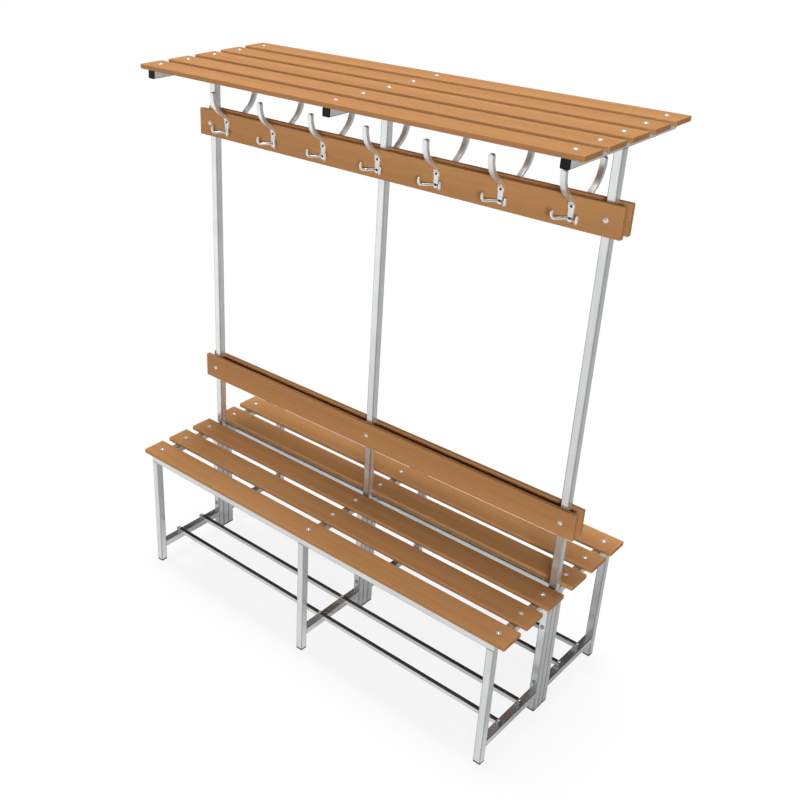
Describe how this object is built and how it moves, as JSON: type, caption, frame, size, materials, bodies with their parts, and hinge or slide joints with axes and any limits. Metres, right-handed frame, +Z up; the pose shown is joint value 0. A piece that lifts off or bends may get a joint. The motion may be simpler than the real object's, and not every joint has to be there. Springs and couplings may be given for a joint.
{
  "type": "locker room bench",
  "caption": "Double-sided locker room bench with slatted seats and backrests, coat hooks, a slatted top shelf and shoe bars on square steel tube frames.",
  "frame": {"origin": "on the floor under the middle of the bench", "axes": "+X along the bench, to the right seen from the front; -Y towards the front seat; +Z up"},
  "size_m": [1.5, 0.676, 1.804],
  "materials": {
    "board_wood": "satin clear lacquer",
    "tube_steel": "satin",
    "hook_metal": "polished",
    "fastener_steel": "bright",
    "black_plastic": "moulded"
  },
  "bodies": {
    "root": {"backrest_screws": "fastener_steel", "centre_post": "tube_steel", "centre_shelf_tube": "tube_steel", "foot_caps": "black_plastic", "frame_bolts": "fastener_steel", "frame_nuts": "fastener_steel", "front_backrest": "board_wood", "front_centre_leg_frame": "tube_steel", "front_coat_hooks": "hook_metal", "front_hook_board": "board_wood", "front_inner_rail": "tube_steel", "front_inner_shoe_bar": "tube_steel", "front_left_leg_frame": "tube_steel", "front_outer_rail": "tube_steel", "front_outer_shoe_bar": "tube_steel", "front_right_leg_frame": "tube_steel", "front_seat_slat_1": "board_wood", "front_seat_slat_2": "board_wood", "front_seat_slat_3": "board_wood", "hook_board_screws": "fastener_steel", "hook_screws": "fastener_steel", "left_post": "tube_steel", "left_shelf_tube": "tube_steel", "rear_backrest": "board_wood", "rear_centre_leg_frame": "tube_steel", "rear_coat_hooks": "hook_metal", "rear_hook_board": "board_wood", "rear_inner_rail": "tube_steel", "rear_inner_shoe_bar": "tube_steel", "rear_left_leg_frame": "tube_steel", "rear_outer_rail": "tube_steel", "rear_outer_shoe_bar": "tube_steel", "rear_right_leg_frame": "tube_steel", "rear_seat_slat_1": "board_wood", "rear_seat_slat_2": "board_wood", "rear_seat_slat_3": "board_wood", "right_post": "tube_steel", "right_shelf_tube": "tube_steel", "seat_screws": "fastener_steel", "shelf_screws": "fastener_steel", "shelf_slat_1": "board_wood", "shelf_slat_2": "board_wood", "shelf_slat_3": "board_wood", "shelf_slat_4": "board_wood", "shelf_slat_5": "board_wood", "shelf_tube_plugs": "black_plastic", "shoe_bar_bolts": "fastener_steel", "shoe_bar_nuts": "fastener_steel", "shoe_bar_plugs": "black_plastic"}
  },
  "joints": []
}
